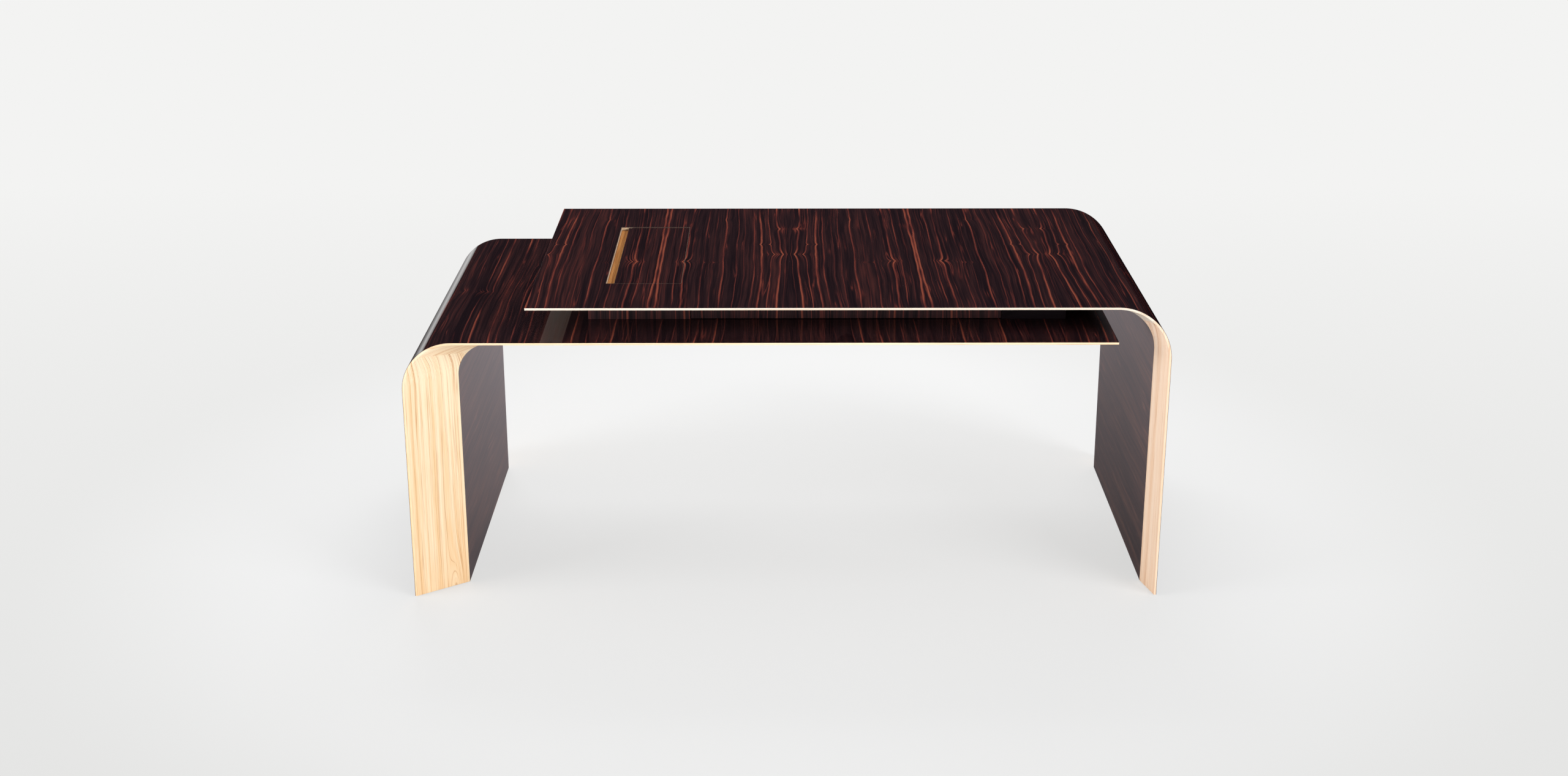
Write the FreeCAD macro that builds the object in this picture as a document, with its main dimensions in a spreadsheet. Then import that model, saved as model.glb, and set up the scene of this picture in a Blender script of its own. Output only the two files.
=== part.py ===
import FreeCAD, Part
import os
import re
import Sketcher

# Writing desk of two bent shells that interlock: each has one leg and one top.
# Between the tops lies a shallow box with a drawer and, at its left, a tray.
# A tambour in the upper top closes the tray and slides to the right.
# X runs along the desk, Y from front to back, Z up from the floor.

# Driving dimensions in millimetres
SIZES = {
    # Whole desk
    "desk_width": 1800,
    "desk_depth": 900,
    "desk_height": 735,
    "top_step": 85,
    "glide_height": 2,
    # Layers and edges of both shells
    "skin": 1,
    "edge_land": 7.5,
    "side_bevel": 81,
    "end_bevel": 62,
    "core_tail": 30,
    # Lower shell, with the thick left leg
    "lower_setback": 125,
    "lower_thickness": 28,
    "lower_leg_thickness": 121,
    "lower_bend": 120,
    "lower_inner_bend": 80,
    "rib_thickness": 18,
    "rib_inset": 40,
    "base_thickness": 18,
    # Upper shell, with the thin right leg
    "upper_setback": 295,
    "upper_thickness": 26.5,
    "upper_bend": 130,
    # Pads under the legs
    "left_glide_radius": 20,
    "right_glide_radius": 9,
    "glide_inset": 70,
    # Opening in the upper top and its thin lipping
    "opening_setback": 173,
    "opening_width": 180,
    "opening_margin": 195,
    "opening_lip": 1,
    # Tambour
    "tambour_clearance": 0.5,
    "tambour_overlap": 6,
    "tambour_stop": 2,
    "slat_headroom": 0.4,
    "slat_thickness": 10,
    "slat_gap": 0.4,
    "slat_arris": 0.4,
    "tongue_length": 8,
    "tongue_thickness": 3,
    "tongue_play": 0.3,
    "finger_width": 18,
    "finger_depth": 9,
    "rail_thickness": 9,
    "rail_flange": 14,
    "canvas": 0.8,
    "canvas_margin": 10,
    # Tracks, rails and pocket of the tambour
    "track_width": 16,
    "end_rail": 12,
    "pocket_spare": 1,
    "pocket_floor": 6,
    # Box between the tops
    "box_panel": 16,
    "tray_margin": 28,
    "tray_lip": 6,
    "tray_lining": 3,
    "box_setback": 100,
    "flank_width": 155,
    # Drawer and its runners
    "drawer_reveal": 1.5,
    "drawer_rear_gap": 20,
    "drawer_board": 12,
    "drawer_lift": 6,
    "drawer_headroom": 6.5,
    "drawer_bottom": 5,
    "bottom_lift": 4,
    "bottom_groove": 4,
    "runner_bite": 6,
    "runner_height": 10,
    "runner_setback": 15,
    "runner_play": 0.3,
    "notch_radius": 20,
    "cut_overrun": 5,
}
SLAT_COUNT = 9
# Places along the depth, as shares of the reach to either side of the middle
SPREAD_SHARES = (-1, -1 / 3, 1 / 3, 1)

# Places and sizes that several pieces share
INNER_DEPTH = "(desk_depth - 2 * side_bevel)"
PLY = "(lower_thickness / 2 - skin)"
LOWER_SPLIT = "(lower_leg_thickness + lower_inner_bend + core_tail)"
LOWER_TOP = "(desk_height - top_step)"
LOWER_LENGTH = "(desk_width - lower_setback)"
LOWER_UNDERSIDE = f"({LOWER_TOP} - lower_thickness)"
UPPER_LENGTH = "(desk_width - upper_setback)"
UPPER_SPLIT = "(upper_bend + core_tail)"
UNDERSIDE = "(desk_height - upper_thickness)"
CORE_FLOOR = f"({UNDERSIDE} + skin)"
CORE_ROOF = "(desk_height - skin)"
OPEN_LEFT = "(upper_setback + opening_setback - desk_width / 2)"
OPEN_RIGHT = f"({OPEN_LEFT} + opening_width)"
OPEN_HALF = "(desk_depth / 2 - opening_margin)"
SLAT_BASE = f"({CORE_ROOF} - slat_headroom - slat_thickness)"
RAIL_LEFT = f"({OPEN_LEFT} + tambour_clearance)"
RAIL_BASE = "(desk_height - finger_depth - rail_thickness)"
TAMBOUR_RIGHT = f"({OPEN_RIGHT} + tambour_overlap)"
SLAT_PITCH = f"(({TAMBOUR_RIGHT} - {RAIL_LEFT} - finger_width) / {SLAT_COUNT})"
BAR_LENGTH = f"(2 * ({OPEN_HALF} - tambour_clearance))"
TONGUED_LENGTH = f"(2 * ({OPEN_HALF} + tongue_length))"
TRAVEL = "(opening_width - finger_width - tambour_stop)"
POCKET_END = f"({TAMBOUR_RIGHT} + {TRAVEL} + pocket_spare)"
TRACK_HALF = f"({OPEN_HALF} + track_width)"
TRACK_LEFT = f"({OPEN_LEFT} - end_rail)"
TRACK_RIGHT = f"({POCKET_END} + end_rail)"
TRAY_LEFT = f"({OPEN_LEFT} - tray_margin)"
TRAY_RIGHT = f"({OPEN_RIGHT} + tray_lip)"
BOX_LEFT = f"({TRAY_LEFT} - box_panel)"
CELL_LEFT = f"({TRAY_RIGHT} + box_panel)"
BOX_RIGHT = "(desk_width / 2 - lower_setback - box_setback)"
CELL_RIGHT = f"({BOX_RIGHT} - flank_width)"
BOX_HALF = f"({OPEN_HALF} + box_panel)"
SIDE_BASE = f"({LOWER_TOP} + drawer_lift)"
SIDE_TOP = f"({UNDERSIDE} - drawer_headroom)"
DRAWER_BACK = f"({OPEN_HALF} - drawer_rear_gap)"
BOTTOM_BASE = f"({SIDE_BASE} + bottom_lift)"
BOTTOM_TOP = f"({BOTTOM_BASE} + drawer_bottom)"
RUNNER_BASE = f"(({SIDE_BASE} + {SIDE_TOP} - runner_height) / 2)"
RUNNER_FRONT = f"(runner_setback - {OPEN_HALF})"

doc = FreeCAD.newDocument("desk")
sheet = doc.addObject("Spreadsheet::Sheet", "Sizes")
for row, (alias, size) in enumerate(SIZES.items(), start=1):
    sheet.set(f"A{row}", alias)
    sheet.set(f"B{row}", str(size))
    sheet.setAlias(f"B{row}", alias)
doc.recompute()
pieces = []


def bound(formula):
    """Formula in the sheet's aliases, as an expression that other objects can hold."""
    return re.sub(r"[a-z]\w+", lambda word: "Sizes." + word.group(), formula)


def value(formula):
    """Present value of a formula."""
    return float(sheet.evalExpression(bound(formula)))


def keep(piece, label):
    """Names a finished piece and adds it to those that are written out."""
    piece.Label = label
    pieces.append(piece)
    return piece


def place(piece, x="0", y="0", z="0"):
    """Binds a piece's position."""
    piece.setExpression("Placement.Base.x", bound(x))
    piece.setExpression("Placement.Base.y", bound(y))
    piece.setExpression("Placement.Base.z", bound(z))


def box(x_span, y_span, z_span):
    """Block between two formulas on each axis."""
    block = doc.addObject("Part::Box", "Block")
    spans = (x_span, y_span, z_span)
    for side, (low, high) in zip(("Length", "Width", "Height"), spans):
        block.setExpression(side, bound(f"({high}) - ({low})"))
    place(block, x_span[0], y_span[0], z_span[0])
    return block


def cut(base, tool):
    """One solid with another taken out of it."""
    result = doc.addObject("Part::Cut", "Cut")
    result.Base = base
    result.Tool = tool
    return result


def board(label, x_span, y_span, z_span):
    """Plain board that is a piece by itself."""
    return keep(box(x_span, y_span, z_span), label)


def middle(half):
    """Span that reaches as far to the front as to the back."""
    return (f"-{half}", half)


def new_sketch(body, role, offset="0"):
    """Sketch on one of the body's own planes, moved along the plane's normal."""
    sketch = body.newObject("Sketcher::SketchObject", "Sketch")
    plane = [datum for datum in body.Origin.OriginFeatures if datum.Role == role][0]
    sketch.AttachmentSupport = [(plane, "")]
    sketch.MapMode = "FlatFace"
    sketch.setExpression("AttachmentOffset.Base.z", bound(offset))
    return sketch


def dimension(sketch, kind, geometry, formula):
    """Dimension of a sketch bound to the sheet: a radius, or a point's distance from the origin."""
    if formula == "0":
        axis = -2 if kind == "DistanceX" else -1
        sketch.addConstraint(Sketcher.Constraint("PointOnObject", *geometry, axis))
        return
    reference = () if kind == "Radius" else (-1, 1)
    number = sketch.addConstraint(Sketcher.Constraint(kind, *reference, *geometry, value(formula)))
    sketch.setExpression(f"Constraints[{number}]", bound(formula))


def polygon(sketch, corners):
    """Closed outline of straight lines, each corner bound to two formulas."""
    points = [FreeCAD.Vector(value(across), value(up), 0) for across, up in corners]
    for start, end in zip(points, points[1:] + points[:1]):
        sketch.addGeometry(Part.LineSegment(start, end))
    for line, (across, up) in enumerate(corners):
        after = (line + 1) % len(corners)
        sketch.addConstraint(Sketcher.Constraint("Coincident", line, 2, after, 1))
        dimension(sketch, "DistanceX", (line, 1), across)
        dimension(sketch, "DistanceY", (line, 1), up)


def bent_outline(sketch, outside, inside, end, foot="glide_height"):
    """Closed outline of a bent layer: up the leg, round the bend and along the top.

    outside and inside each give the leg face, the top face and the bend radius.
    """
    faces = [[value(part) for part in face] for face in (outside, inside)]
    (out_x, out_z, out_r), (in_x, in_z, in_r) = faces
    far = value(end)
    low = value(foot)
    quarter = FreeCAD.Units.Quantity("90 deg").getValueAs("rad").Value
    upward = FreeCAD.Vector(0, 0, 1)

    def line(x0, z0, x1, z1):
        sketch.addGeometry(Part.LineSegment(FreeCAD.Vector(x0, z0, 0), FreeCAD.Vector(x1, z1, 0)))

    def bend(x, z, radius):
        centre = FreeCAD.Vector(x + radius, z - radius, 0)
        circle = Part.Circle(centre, upward, radius)
        sketch.addGeometry(Part.ArcOfCircle(circle, quarter, 2 * quarter))

    line(out_x, low, out_x, out_z - out_r)
    bend(out_x, out_z, out_r)
    line(out_x + out_r, out_z, far, out_z)
    line(far, out_z, far, in_z)
    line(far, in_z, in_x + in_r, in_z)
    bend(in_x, in_z, in_r)
    line(in_x, in_z - in_r, in_x, low)
    line(in_x, low, out_x, low)
    for first, first_end, second, second_end in ((0, 2, 1, 2), (1, 1, 2, 1), (4, 2, 5, 1), (5, 2, 6, 1)):
        sketch.addConstraint(Sketcher.Constraint("Tangent", first, first_end, second, second_end))
    for first, second in ((2, 3), (3, 4), (6, 7), (7, 0)):
        sketch.addConstraint(Sketcher.Constraint("Coincident", first, 2, second, 1))
    for upright in (0, 3, 6):
        sketch.addConstraint(Sketcher.Constraint("Vertical", upright))
    for level in (2, 4, 7):
        sketch.addConstraint(Sketcher.Constraint("Horizontal", level))
    dimension(sketch, "Radius", (1,), outside[2])
    dimension(sketch, "Radius", (5,), inside[2])
    dimension(sketch, "DistanceX", (0, 1), outside[0])
    dimension(sketch, "DistanceX", (6, 2), inside[0])
    dimension(sketch, "DistanceY", (2, 2), outside[1])
    dimension(sketch, "DistanceY", (4, 1), inside[1])
    dimension(sketch, "DistanceX", (2, 2), end)
    dimension(sketch, "DistanceY", (0, 1), foot)


def pad(body, sketch, depth):
    """Extrudes a sketch evenly to both sides of its plane."""
    feature = body.newObject("PartDesign::Pad", "Pad")
    feature.Profile = sketch
    feature.SideType = "Symmetric"
    feature.setExpression("Length", bound(depth))
    return feature


def pocket(body, sketch):
    """Cuts a sketch through the whole body, to both sides of its plane."""
    feature = body.newObject("PartDesign::Pocket", "Pocket")
    feature.Profile = sketch
    feature.Type = "ThroughAll"
    feature.SideType = "Symmetric"
    doc.recompute()
    if feature.Shape.Volume >= feature.BaseFeature.Shape.Volume:
        raise RuntimeError(f"{body.Label}: the cut takes nothing away")
    return feature


class Shell:
    """One bent shell, drawn from its leg's outer face, with x running along its top."""

    def __init__(self, name, turned, outside, inside, length):
        self.name = name
        self.turned = turned
        self.outside = outside
        self.inside = inside
        self.length = length
        self.core_end = f"({length} - end_bevel)"

    def outer(self, depth):
        """Face that lies a given depth under the outer surface."""
        leg, top, radius = self.outside
        return (depth if leg == "0" else f"{leg} + {depth}", f"({top} - {depth})", f"({radius} - {depth})")

    def inner(self, depth):
        """Face that lies a given depth under the inner surface."""
        leg, top, radius = self.inside
        return (f"({leg} - {depth})", f"({top} + {depth})", f"({radius} + {depth})")

    def body(self, label):
        """Empty body that stands at the shell's leg and faces along its top."""
        body = keep(doc.addObject("PartDesign::Body", "Body"), f"{self.name}_{label}")
        if self.turned:
            body.Placement.Rotation = FreeCAD.Rotation(FreeCAD.Vector(0, 0, 1), 180)
        place(body, "desk_width / 2" if self.turned else "-desk_width / 2")
        return body

    def layer(self, label, outside, inside, end, depth):
        """Bent sheet between two faces."""
        body = self.body(label)
        sketch = new_sketch(body, "XZ_Plane")
        bent_outline(sketch, outside, inside, end)
        pad(body, sketch, depth)
        return body

    def skins(self):
        """Glossy skin outside, over the full depth, and satin skin inside, between the bevels."""
        outer_skin = self.layer("outer_skin", self.outside, self.outer("skin"), self.length, "desk_depth")
        inner_skin = self.layer("inner_skin", self.inner("skin"), self.inside, self.core_end, INNER_DEPTH)
        return outer_skin, inner_skin

    def bevel_corners(self):
        """Corners of the wedge that the end bevel takes off under the edge land."""
        top = self.outside[1]
        under = self.inside[1]
        return ((self.core_end, under), (self.length, f"{top} - edge_land"), (self.length, under))

    def side_lipping(self, label, front):
        """Bevelled lipping, a ruled loft from the thin edge to the full section."""
        body = self.body(label)
        side = "" if front != self.turned else "-"
        edge = new_sketch(body, "XZ_Plane", f"{side}desk_depth / 2")
        bent_outline(edge, self.outer("skin"), self.outer("edge_land"), self.length)
        root = new_sketch(body, "XZ_Plane", f"{side}{INNER_DEPTH} / 2")
        bent_outline(root, self.outer("skin"), self.inside, self.length)
        loft = body.newObject("PartDesign::AdditiveLoft", "Loft")
        loft.Profile = edge
        loft.Sections = [root]
        loft.Ruled = True
        doc.recompute()
        wedge = new_sketch(body, "XZ_Plane")
        polygon(wedge, self.bevel_corners())
        pocket(body, wedge)

    def end_lipping(self):
        """Bevelled lipping across the free end."""
        top = self.outside[1]
        body = self.body("end_lipping")
        sketch = new_sketch(body, "XZ_Plane")
        start, land, _ = self.bevel_corners()
        polygon(sketch, (start, land, (self.length, f"{top} - skin"), (self.core_end, f"{top} - skin")))
        pad(body, sketch, INNER_DEPTH)

    def edges(self):
        """Lippings round all three free edges."""
        self.side_lipping("front_lipping", front=True)
        self.side_lipping("back_lipping", front=False)
        self.end_lipping()


def through_cut(body, x_span, y_span):
    """Rectangular opening through a body, in the body's own frame."""
    sketch = new_sketch(body, "XY_Plane")
    (left, right), (front, back) = x_span, y_span
    polygon(sketch, ((left, front), (right, front), (right, back), (left, back)))
    pocket(body, sketch)


def glides(label, x, radius):
    """Row of round pads under a leg."""
    pads = []
    for share in SPREAD_SHARES:
        disc = doc.addObject("Part::Cylinder", "Disc")
        disc.setExpression("Radius", bound(radius))
        disc.setExpression("Height", bound("glide_height"))
        place(disc, x, f"({INNER_DEPTH} / 2 - glide_inset) * {share}")
        pads.append(disc)
    row = doc.addObject("Part::Compound", "Row")
    row.Links = pads
    keep(row, label)


def lower_shell():
    """Left leg and lower top: a hollow leg of two ply layers on ribs, and a top with a solid core."""
    shell = Shell(
        "lower",
        False,
        ("0", LOWER_TOP, "lower_bend"),
        ("lower_leg_thickness", LOWER_UNDERSIDE, "lower_inner_bend"),
        LOWER_LENGTH,
    )
    shell.skins()
    shell.edges()
    ply_depth = f"(skin + {PLY})"
    shell.layer("outer_ply", shell.outer("skin"), shell.outer(ply_depth), LOWER_SPLIT, INNER_DEPTH)
    shell.layer("inner_ply", shell.inner(ply_depth), shell.inner("skin"), LOWER_SPLIT, INNER_DEPTH)
    left = "-desk_width / 2"
    depth_span = middle(f"{INNER_DEPTH} / 2")
    core_x = (f"{left} + {LOWER_SPLIT}", f"{left} + {LOWER_LENGTH} - end_bevel")
    board("lower_top_core", core_x, depth_span, (f"{LOWER_UNDERSIDE} + skin", f"{LOWER_TOP} - skin"))
    hollow_x = (f"{left} + {ply_depth}", f"{left} + lower_leg_thickness - {ply_depth}")
    base_top = "glide_height + base_thickness"
    board("lower_leg_base", hollow_x, depth_span, ("glide_height", base_top))
    for number, share in enumerate(SPREAD_SHARES, start=1):
        centre = f"({INNER_DEPTH} / 2 - rib_inset) * {share}"
        rib_y = (f"{centre} - rib_thickness / 2", f"{centre} + rib_thickness / 2")
        board(f"lower_leg_rib_{number}", hollow_x, rib_y, (base_top, f"{LOWER_TOP} - lower_bend"))
    glides("left_glides", f"{left} + lower_leg_thickness / 2", "left_glide_radius")


def upper_shell():
    """Right leg and upper top, of one thickness, with the opening for the tambour."""
    shell = Shell(
        "upper",
        True,
        ("0", "desk_height", "upper_bend"),
        ("upper_thickness", UNDERSIDE, "(upper_bend - upper_thickness)"),
        UPPER_LENGTH,
    )
    outer_skin, inner_skin = shell.skins()
    doc.recompute()
    near = f"{UPPER_LENGTH} - opening_setback - opening_width"
    far = f"{UPPER_LENGTH} - opening_setback"
    lipped = f"{OPEN_HALF} + opening_lip"
    through_cut(outer_skin, (f"{near} - opening_lip", f"{far} + opening_lip"), (f"-({lipped})", lipped))
    through_cut(inner_skin, (near, far), middle(OPEN_HALF))
    shell.edges()
    shell.layer("bend_core", shell.outer("skin"), shell.inner("skin"), UPPER_SPLIT, INNER_DEPTH)
    right = "desk_width / 2"
    core_x = (f"{right} - {UPPER_LENGTH} + end_bevel", f"{right} - {UPPER_SPLIT}")
    panel = box(core_x, middle(f"{INNER_DEPTH} / 2"), (CORE_FLOOR, CORE_ROOF))
    hole_z = (f"{CORE_FLOOR} - cut_overrun", f"{CORE_ROOF} + cut_overrun")
    hole = box((TRACK_LEFT, TRACK_RIGHT), middle(TRACK_HALF), hole_z)
    keep(cut(panel, hole), "upper_top_core")
    glides("right_glides", f"{right} - upper_thickness / 2", "right_glide_radius")


def tambour_bed():
    """Fixed pieces that the tambour runs in, and the thin lipping round its opening."""
    core_z = (CORE_FLOOR, CORE_ROOF)
    groove_x = (OPEN_LEFT, POCKET_END)
    groove_z = (f"{SLAT_BASE} - tongue_play", f"{SLAT_BASE} + tongue_thickness + tongue_play")
    groove_depth = f"({OPEN_HALF} + tongue_length + tongue_play)"
    for label, side in (("front_track", "-"), ("back_track", "")):
        face = f"{side}{OPEN_HALF}"
        rail_y = sorted((face, f"{side}{TRACK_HALF}"), key=value)
        rail = box((TRACK_LEFT, TRACK_RIGHT), rail_y, core_z)
        inside = f"{side}({OPEN_HALF} - cut_overrun)"
        groove_y = sorted((inside, f"{side}{groove_depth}"), key=value)
        keep(cut(rail, box(groove_x, groove_y, groove_z)), label)
    across = middle(OPEN_HALF)
    board("opening_end_rail", (TRACK_LEFT, OPEN_LEFT), across, core_z)
    board("pocket_end_rail", (POCKET_END, TRACK_RIGHT), across, core_z)
    board("pocket_floor", (OPEN_RIGHT, POCKET_END), across, (CORE_FLOOR, f"{CORE_FLOOR} + pocket_floor"))
    outside = box(
        (f"{OPEN_LEFT} - opening_lip", f"{OPEN_RIGHT} + opening_lip"),
        middle(f"({OPEN_HALF} + opening_lip)"),
        (CORE_ROOF, "desk_height"),
    )
    inside_z = (f"{CORE_ROOF} - cut_overrun", "desk_height + cut_overrun")
    keep(cut(outside, box((OPEN_LEFT, OPEN_RIGHT), across, inside_z)), "opening_lipping")


def tongued_bar(label, x, z, section, tongue_x, tongue_z):
    """Bar across the opening, with a thinner tongue at each end for the tracks."""
    body = keep(doc.addObject("PartDesign::Body", "Body"), label)
    place(body, x, "0", z)
    bar = new_sketch(body, "XZ_Plane")
    polygon(bar, section)
    pad(body, bar, BAR_LENGTH)
    tongue = new_sketch(body, "XZ_Plane")
    tongue_top = f"{tongue_z} + tongue_thickness"
    polygon(tongue, (("0", tongue_z), (tongue_x, tongue_z), (tongue_x, tongue_top), ("0", tongue_top)))
    pad(body, tongue, TONGUED_LENGTH)


def tambour():
    """Lowered lead rail with the finger slot above it, slats, and the canvas that joins them."""
    flange = f"({SLAT_BASE} - canvas - {RAIL_BASE})"
    rail_section = (
        ("0", "0"),
        ("finger_width + rail_flange", "0"),
        ("finger_width + rail_flange", flange),
        ("finger_width", flange),
        ("finger_width", "rail_thickness"),
        ("0", "rail_thickness"),
    )
    rail_tongue = f"({SLAT_BASE} - {RAIL_BASE})"
    tongued_bar("tambour_lead_rail", RAIL_LEFT, RAIL_BASE, rail_section, "finger_width", rail_tongue)
    width = f"({SLAT_PITCH} - slat_gap)"
    slat_section = (
        ("0", "0"),
        (width, "0"),
        (width, "slat_thickness - slat_arris"),
        (f"{width} - slat_arris", "slat_thickness"),
        ("slat_arris", "slat_thickness"),
        ("0", "slat_thickness - slat_arris"),
    )
    for number in range(SLAT_COUNT):
        slat_x = f"{RAIL_LEFT} + finger_width + slat_gap + {SLAT_PITCH} * {number}"
        tongued_bar(f"tambour_slat_{number + 1}", slat_x, SLAT_BASE, slat_section, width, "0")
    canvas_x = (f"{RAIL_LEFT} + finger_width", TAMBOUR_RIGHT)
    canvas_y = middle(f"({OPEN_HALF} - canvas_margin)")
    board("tambour_canvas", canvas_x, canvas_y, (f"{SLAT_BASE} - canvas", SLAT_BASE))


def box_between_tops():
    """Shallow box that carries the upper top on the lower one: tray cell, drawer cell and a closed flank."""
    height = (LOWER_TOP, UNDERSIDE)
    inside = middle(OPEN_HALF)
    board("box_left_end", (BOX_LEFT, TRAY_LEFT), inside, height)
    board("box_left_divider", (TRAY_RIGHT, CELL_LEFT), inside, height)
    board("box_right_divider", (CELL_RIGHT, f"{CELL_RIGHT} + box_panel"), inside, height)
    board("box_right_end", (f"{BOX_RIGHT} - box_panel", BOX_RIGHT), inside, height)
    board("box_back", (BOX_LEFT, BOX_RIGHT), (OPEN_HALF, BOX_HALF), height)
    front = (f"-{BOX_HALF}", f"-{OPEN_HALF}")
    board("box_front_left", (BOX_LEFT, CELL_LEFT), front, height)
    board("box_front_right", (CELL_RIGHT, BOX_RIGHT), front, height)
    board("tray_floor", (TRAY_LEFT, TRAY_RIGHT), inside, (LOWER_TOP, f"{LOWER_TOP} + tray_lining"))


def drawer():
    """Shallow drawer: notched front, grooved sides on runners, back and slid-in bottom."""
    front = box(
        (f"{CELL_LEFT} + drawer_reveal", f"{CELL_RIGHT} - drawer_reveal"),
        (f"-{BOX_HALF}", f"-{OPEN_HALF}"),
        (f"{LOWER_TOP} + drawer_reveal", f"{UNDERSIDE} - drawer_reveal"),
    )
    notch = doc.addObject("Part::Cylinder", "Notch")
    notch.Placement.Rotation = FreeCAD.Rotation(FreeCAD.Vector(1, 0, 0), 90)
    notch.setExpression("Radius", bound("notch_radius"))
    notch.setExpression("Height", bound("box_panel + 2 * cut_overrun"))
    place(notch, f"({CELL_LEFT} + {CELL_RIGHT}) / 2", f"cut_overrun - {OPEN_HALF}", UNDERSIDE)
    keep(cut(front, notch), "drawer_front")
    length = (f"-{OPEN_HALF}", DRAWER_BACK)
    height = (SIDE_BASE, SIDE_TOP)
    runner_z = (RUNNER_BASE, f"{RUNNER_BASE} + runner_height")
    groove_y = (f"{RUNNER_FRONT} - runner_play", f"{DRAWER_BACK} + cut_overrun")
    groove_z = (f"{RUNNER_BASE} - runner_play", f"{RUNNER_BASE} + runner_height + runner_play")
    bottom_y = (f"-{OPEN_HALF} - cut_overrun", f"{DRAWER_BACK} + cut_overrun")
    faces = []
    for label, wall, inward in (("left", CELL_LEFT, "+"), ("right", CELL_RIGHT, "-")):
        outside = f"{wall} {inward} drawer_reveal"
        inside = f"{outside} {inward} drawer_board"
        faces.append(inside)
        side = box(sorted((outside, inside), key=value), length, height)
        before = f"{wall} {inward} (drawer_reveal - cut_overrun)"
        bite = f"{outside} {inward} (runner_bite + runner_play)"
        side = cut(side, box(sorted((before, bite), key=value), groove_y, groove_z))
        slot = f"{inside} {inward} (-bottom_groove)"
        past = f"{inside} {inward} cut_overrun"
        side = cut(side, box(sorted((slot, past), key=value), bottom_y, (BOTTOM_BASE, BOTTOM_TOP)))
        keep(side, f"drawer_{label}_side")
        runner_x = sorted((wall, f"{outside} {inward} runner_bite"), key=value)
        board(f"drawer_{label}_runner", runner_x, (RUNNER_FRONT, OPEN_HALF), runner_z)
    left_face, right_face = faces
    back_y = (f"{DRAWER_BACK} - drawer_board", DRAWER_BACK)
    board("drawer_back", (left_face, right_face), back_y, (BOTTOM_TOP, SIDE_TOP))
    bottom_x = (f"{left_face} - bottom_groove", f"{right_face} + bottom_groove")
    board("drawer_bottom", bottom_x, length, (BOTTOM_BASE, BOTTOM_TOP))


lower_shell()
upper_shell()
tambour_bed()
tambour()
box_between_tops()
drawer()
doc.recompute()

failed = [item.Label for item in doc.Objects if "Invalid" in item.State or "Error" in item.State]
failed += [piece.Label for piece in pieces if piece.Shape.isNull() or not piece.Shape.isValid()]
if failed:
    raise RuntimeError("failed: " + ", ".join(failed))
os.makedirs("parts", exist_ok=True)
for piece in pieces:
    piece.Shape.exportStep(f"parts/{piece.Label}.step")
    print(piece.Label, len(piece.Shape.Solids), round(piece.Shape.Volume))
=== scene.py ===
"""Looks of a writing desk of two bent veneered shells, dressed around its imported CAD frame."""

import logging
import math
from collections.abc import Callable, Iterable, Sequence
from dataclasses import dataclass, field, replace
from enum import Enum
from functools import partial
from itertools import starmap
from typing import NamedTuple

import bmesh
import bpy
from bpy.types import Material, Node, NodeSocket, NodeTree, Object
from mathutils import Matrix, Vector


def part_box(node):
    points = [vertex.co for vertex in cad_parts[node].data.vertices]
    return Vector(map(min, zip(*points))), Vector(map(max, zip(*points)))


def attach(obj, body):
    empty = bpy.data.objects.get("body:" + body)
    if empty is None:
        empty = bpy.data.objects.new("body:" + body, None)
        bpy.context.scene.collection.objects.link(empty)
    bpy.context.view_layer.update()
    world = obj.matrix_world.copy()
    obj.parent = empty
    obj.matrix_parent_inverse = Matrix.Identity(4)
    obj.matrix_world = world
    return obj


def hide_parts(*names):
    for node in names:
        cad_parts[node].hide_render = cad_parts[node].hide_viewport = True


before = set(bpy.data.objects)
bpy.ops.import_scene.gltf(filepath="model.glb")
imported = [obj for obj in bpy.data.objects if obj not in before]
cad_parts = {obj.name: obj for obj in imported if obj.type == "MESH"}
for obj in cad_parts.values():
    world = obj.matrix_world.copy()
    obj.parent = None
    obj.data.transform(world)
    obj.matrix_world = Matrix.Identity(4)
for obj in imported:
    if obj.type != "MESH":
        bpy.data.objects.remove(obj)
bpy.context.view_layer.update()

LOG = logging.getLogger("desk")
LACQUER_IOR = 1.5

Colour = tuple[float, float, float, float]
Source = Node | NodeSocket | float | tuple
Inputs = dict[str, Source]
Adder = Callable[..., Node]


def linear(colour: str) -> Colour:
    """Turns an sRGB hex colour into linear values.

    Args:
        colour: Colour such as "#f4d9ae".

    Returns:
        Linear red, green and blue, and an alpha of one.
    """
    channels = [int(colour[place : place + 2], 16) / 255 for place in (1, 3, 5)]
    toned = [c / 12.92 if c <= 0.04045 else ((c + 0.055) / 1.055) ** 2.4 for c in channels]
    return (*toned, 1.0)


def per_metre(millimetres: float) -> float:
    """Scale of a pattern whose features have this size."""
    return 1000 / millimetres


def add(
    tree: NodeTree,
    kind: str,
    *sources: Source,
    stops: Iterable[tuple[float, str]] = (),
    **settings: object,
) -> Node:
    """Adds one node with its settings and links.

    Args:
        tree: Tree that takes the node.
        kind: Blender's name of the shader node, followed by its operation if it has one.
        sources: Value, output or node (its first output) for the inputs that the node shows.
        stops: Places and hex colours, for a node that has a colour ramp.
        settings: Properties of the node, and sources of inputs by their name.

    Returns:
        The new node.
    """
    kind, _, operation = kind.partition(" ")
    node = tree.nodes.new(f"ShaderNode{kind}")
    if operation:
        node.operation = operation
    links = []
    for name, setting in settings.items():
        if name in node.inputs:
            links.append((node.inputs[name], setting))
        else:
            setattr(node, name, setting)
    links += zip((socket for socket in node.inputs if socket.enabled), sources)
    for socket, source in links:
        if isinstance(source, Node):
            source = next(output for output in source.outputs if output.enabled)
        if isinstance(source, NodeSocket):
            tree.links.new(source, socket)
        else:
            socket.default_value = source
    for number, (place, colour) in enumerate(stops):
        elements = node.color_ramp.elements
        stop = elements[number] if number < 2 else elements.new(place)
        stop.position = place
        stop.color = linear(colour)
    return node


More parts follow.
